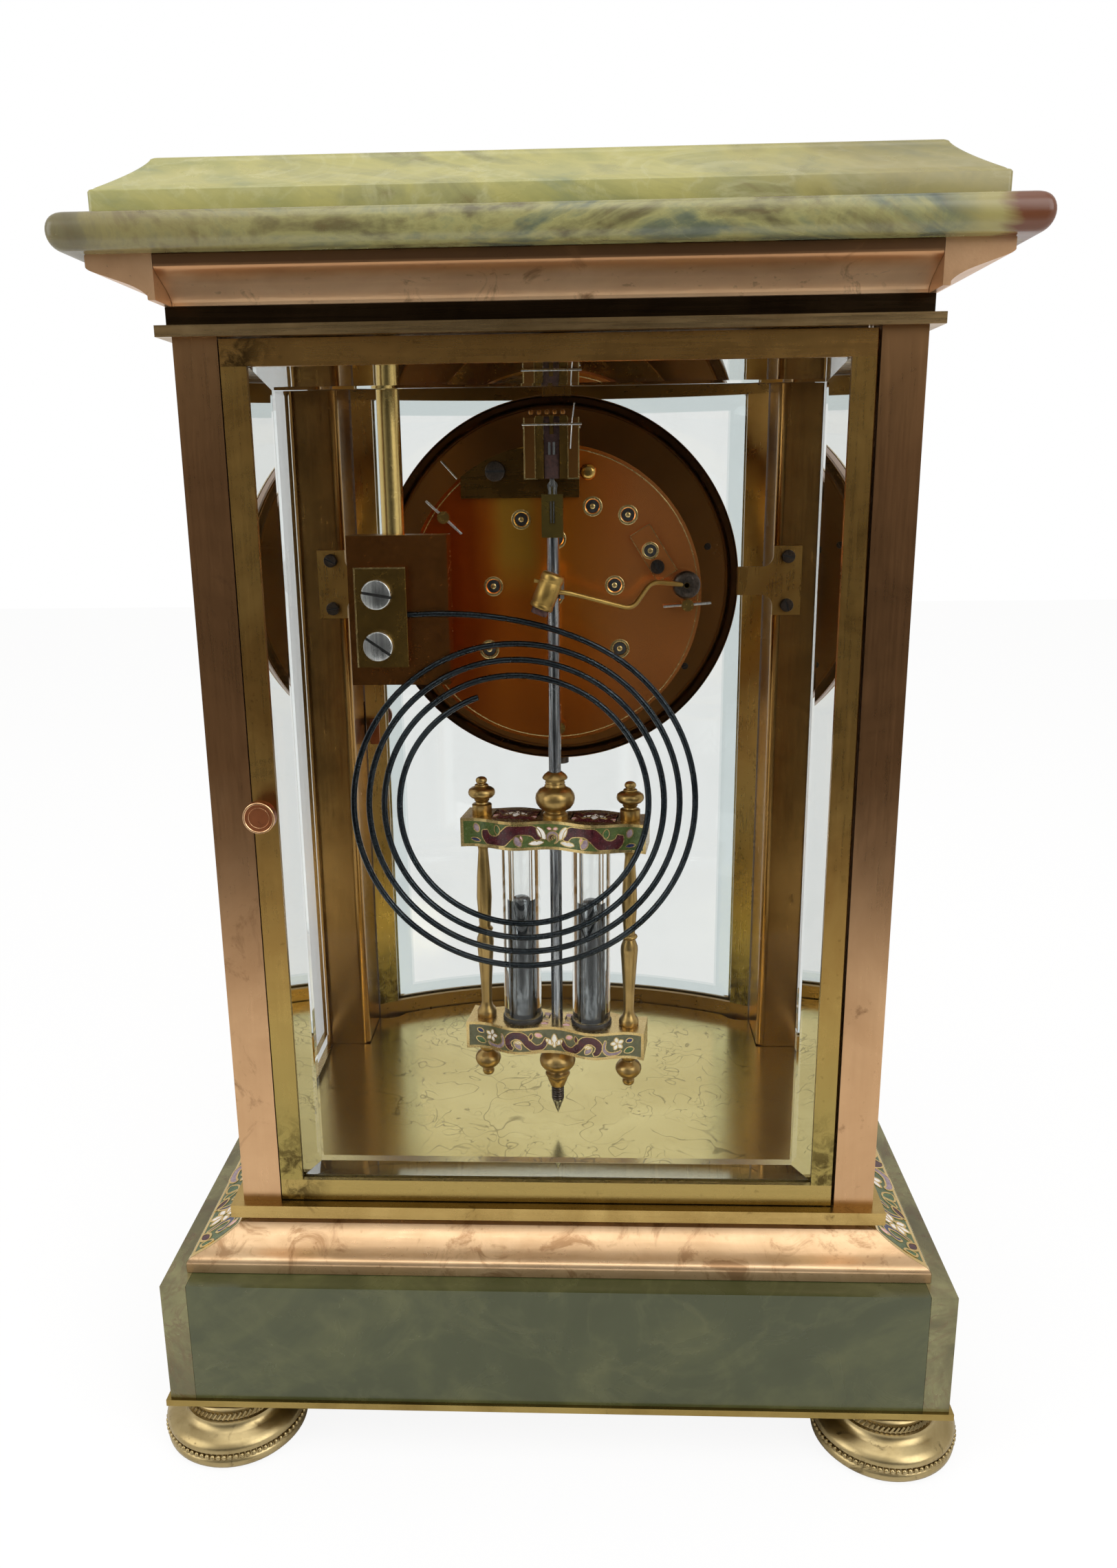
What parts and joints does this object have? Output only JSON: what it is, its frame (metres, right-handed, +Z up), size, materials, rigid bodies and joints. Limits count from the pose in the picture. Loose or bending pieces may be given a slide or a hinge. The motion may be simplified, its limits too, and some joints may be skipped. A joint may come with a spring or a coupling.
{
  "type": "crystal regulator clock",
  "caption": "Mantel clock with a bowed glass front, bevelled side panes, a rear door, stone top and base, a spring-driven striking movement, a spiral gong and a twin-vial mercury pendulum.",
  "frame": {"origin": "on the floor under the middle of the clock's bounding box", "axes": "+Z up, -Y towards the dial and the bowed front, +Y towards the rear door, +X to the right of a viewer who faces the dial"},
  "size_m": [0.2562, 0.2058, 0.3803],
  "materials": {
    "onyx": "polished green onyx with brown and pale veins",
    "copper_gilt": "polished copper-toned gilt brass, worn",
    "brass": "polished brass with patina",
    "dark_brass": "dark patinated brass",
    "glass": "clear bevelled plate glass",
    "steel": "polished steel",
    "blued_steel": "blue-black tempered steel",
    "enamel_gilt": "gilt brass with cloisonne style enamel fields",
    "dial_enamel": "ivory enamel with plain black numerals",
    "mercury": "liquid mercury"
  },
  "bodies": {
    "case": {"feet": "brass", "base_plate": "brass", "base_panel_rear": "onyx", "base_panel_sides": "onyx", "base_panel_front": "onyx", "base_moulding": "enamel_gilt", "base_moulding_rear": "copper_gilt", "case_bottom_frame": "brass", "floor_plate": "brass", "rear_posts": "copper_gilt", "front_posts": "copper_gilt", "side_glasses": "glass", "door_pins": "steel", "case_top_frame": "dark_brass", "cornice": "copper_gilt", "cornice_rear": "copper_gilt", "top_slab": "onyx", "top_cap": "onyx", "case_screws": "steel", "movement_ring": "dark_brass", "ring_brackets": "brass", "back_plate": "copper_gilt", "front_plate": "brass", "plate_pillars": "brass", "taper_pins": "steel", "dial": "dial_enamel", "bezel": "copper_gilt", "suspension_bracket": "brass", "suspension_spring": "steel", "gong_block": "dark_brass", "gong_coil": "blued_steel"},
    "rear_door": {"rear_door_stiles": "brass", "rear_door_rails": "brass", "rear_door_glass": "glass"},
    "rear_latch": {"rear_door_knob": "copper_gilt"},
    "front_door": {"front_door_stiles": "brass", "front_door_rails": "brass", "front_door_glass": "glass"},
    "front_latch": {"front_door_knob": "copper_gilt"},
    "pendulum": {"pendulum_rod": "steel", "pendulum_plates": "enamel_gilt", "pendulum_columns": "copper_gilt", "mercury_vials": "glass", "mercury": "mercury"},
    "rating_nut": {"rating_nut": "copper_gilt"},
    "minute_hand": {"minute_hand": "blued_steel"},
    "hour_hand": {"hour_hand": "blued_steel"},
    "minute_wheel": {"minute_wheel": "brass"},
    "going_barrel": {"going_barrel": "brass"},
    "intermediate_wheel": {"intermediate_wheel": "brass"},
    "centre_wheel": {"centre_wheel": "brass"},
    "third_wheel": {"third_wheel": "brass"},
    "escape_wheel": {"escape_wheel": "brass"},
    "crutch": {"crutch": "steel"},
    "strike_barrel": {"strike_barrel": "brass"},
    "strike_second_wheel": {"strike_second_wheel": "brass"},
    "strike_pin_wheel": {"strike_pin_wheel": "brass"},
    "strike_third_wheel": {"strike_third_wheel": "brass"},
    "fly": {"fly": "brass"},
    "hammer": {"hammer": "steel"}
  },
  "joints": [
    {"name": "rear_door_hinge", "type": "hinge", "parent": "case", "child": "rear_door", "pos_m": [-0.08435, 0.0729, 0.2073], "axis": [0, 0, 1], "range_deg": [0, 110]},
    {"name": "rear_latch_turn", "type": "hinge", "parent": "rear_door", "child": "rear_latch", "pos_m": [0.08315, 0.0745, 0.2065], "axis": [0, -1, 0], "range_deg": [0, 90]},
    {"name": "front_door_hinge", "type": "hinge", "parent": "case", "child": "front_door", "pos_m": [-0.07485, -0.06287, 0.2073], "axis": [0, 0, -1], "range_deg": [0, 100]},
    {"name": "front_latch_turn", "type": "hinge", "parent": "front_door", "child": "front_latch", "pos_m": [0.07365, -0.0655, 0.2065], "axis": [0, -1, 0], "range_deg": [0, 90]},
    {"name": "pendulum_swing", "type": "hinge", "parent": "case", "child": "pendulum", "pos_m": [0, 0.0305, 0.2972], "axis": [0, 1, 0], "range_deg": [-4, 4]},
    {"name": "rating_nut_turn", "type": "hinge", "parent": "pendulum", "child": "rating_nut", "pos_m": [0, 0.0305, 0.104], "axis": [0, 0, 1], "continuous": true},
    {"name": "crutch_swing", "type": "hinge", "parent": "case", "child": "crutch", "pos_m": [0, 0.0145, 0.2972], "axis": [0, 1, 0], "range_deg": [-4, 4]},
    {"name": "hammer_lift", "type": "hinge", "parent": "case", "child": "hammer", "pos_m": [-0.0415, 0.0145, 0.2668], "axis": [0, -1, 0], "range_deg": [0, 12]},
    {"name": "minute_hand_turn", "type": "hinge", "parent": "case", "child": "minute_hand", "pos_m": [0, 0.0025, 0.2632], "axis": [0, 1, 0], "continuous": true},
    {"name": "hour_hand_turn", "type": "hinge", "parent": "case", "child": "hour_hand", "pos_m": [0, 0.0025, 0.2632], "axis": [0, 1, 0], "continuous": true},
    {"name": "minute_wheel_turn", "type": "hinge", "parent": "case", "child": "minute_wheel", "pos_m": [0, 0.0025, 0.2742], "axis": [0, 1, 0], "continuous": true},
    {"name": "centre_wheel_turn", "type": "hinge", "parent": "case", "child": "centre_wheel", "pos_m": [0, 0.0025, 0.2632], "axis": [0, 1, 0], "continuous": true},
    {"name": "going_barrel_turn", "type": "hinge", "parent": "case", "child": "going_barrel", "pos_m": [0.021, 0.0025, 0.2462], "axis": [0, 1, 0], "continuous": true},
    {"name": "intermediate_wheel_turn", "type": "hinge", "parent": "case", "child": "intermediate_wheel", "pos_m": [0.0193, 0.0025, 0.2664], "axis": [0, 1, 0], "continuous": true},
    {"name": "third_wheel_turn", "type": "hinge", "parent": "case", "child": "third_wheel", "pos_m": [-0.0009, 0.0025, 0.281], "axis": [0, 1, 0], "continuous": true},
    {"name": "escape_wheel_turn", "type": "hinge", "parent": "case", "child": "escape_wheel", "pos_m": [0.0101, 0.0025, 0.2871], "axis": [0, 1, 0], "continuous": true},
    {"name": "strike_barrel_turn", "type": "hinge", "parent": "case", "child": "strike_barrel", "pos_m": [-0.021, 0.0025, 0.2462], "axis": [0, 1, 0], "continuous": true},
    {"name": "strike_second_wheel_turn", "type": "hinge", "parent": "case", "child": "strike_second_wheel", "pos_m": [-0.0193, 0.0025, 0.2664], "axis": [0, 1, 0], "continuous": true},
    {"name": "strike_pin_wheel_turn", "type": "hinge", "parent": "case", "child": "strike_pin_wheel", "pos_m": [-0.0304, 0.0025, 0.2772], "axis": [0, 1, 0], "continuous": true},
    {"name": "strike_third_wheel_turn", "type": "hinge", "parent": "case", "child": "strike_third_wheel", "pos_m": [-0.0234, 0.0025, 0.2882], "axis": [0, 1, 0], "continuous": true},
    {"name": "fly_turn", "type": "hinge", "parent": "case", "child": "fly", "pos_m": [-0.0123, 0.0025, 0.2909], "axis": [0, 1, 0], "continuous": true}
  ],
  "couplings": [
    {"joint": "crutch_swing", "follows": "pendulum_swing", "ratio": 1},
    {"joint": "hour_hand_turn", "follows": "minute_hand_turn", "ratio": 0.083333},
    {"joint": "minute_wheel_turn", "follows": "minute_hand_turn", "ratio": -0.33333},
    {"joint": "centre_wheel_turn", "follows": "minute_hand_turn", "ratio": 1},
    {"joint": "third_wheel_turn", "follows": "minute_hand_turn", "ratio": -14},
    {"joint": "escape_wheel_turn", "follows": "minute_hand_turn", "ratio": 154},
    {"joint": "intermediate_wheel_turn", "follows": "minute_hand_turn", "ratio": -0.16667},
    {"joint": "going_barrel_turn", "follows": "minute_hand_turn", "ratio": 0.02381},
    {"joint": "strike_second_wheel_turn", "follows": "strike_pin_wheel_turn", "ratio": -0.125},
    {"joint": "strike_barrel_turn", "follows": "strike_pin_wheel_turn", "ratio": 0.017857},
    {"joint": "strike_third_wheel_turn", "follows": "strike_pin_wheel_turn", "ratio": -7},
    {"joint": "fly_turn", "follows": "strike_pin_wheel_turn", "ratio": 70}
  ]
}
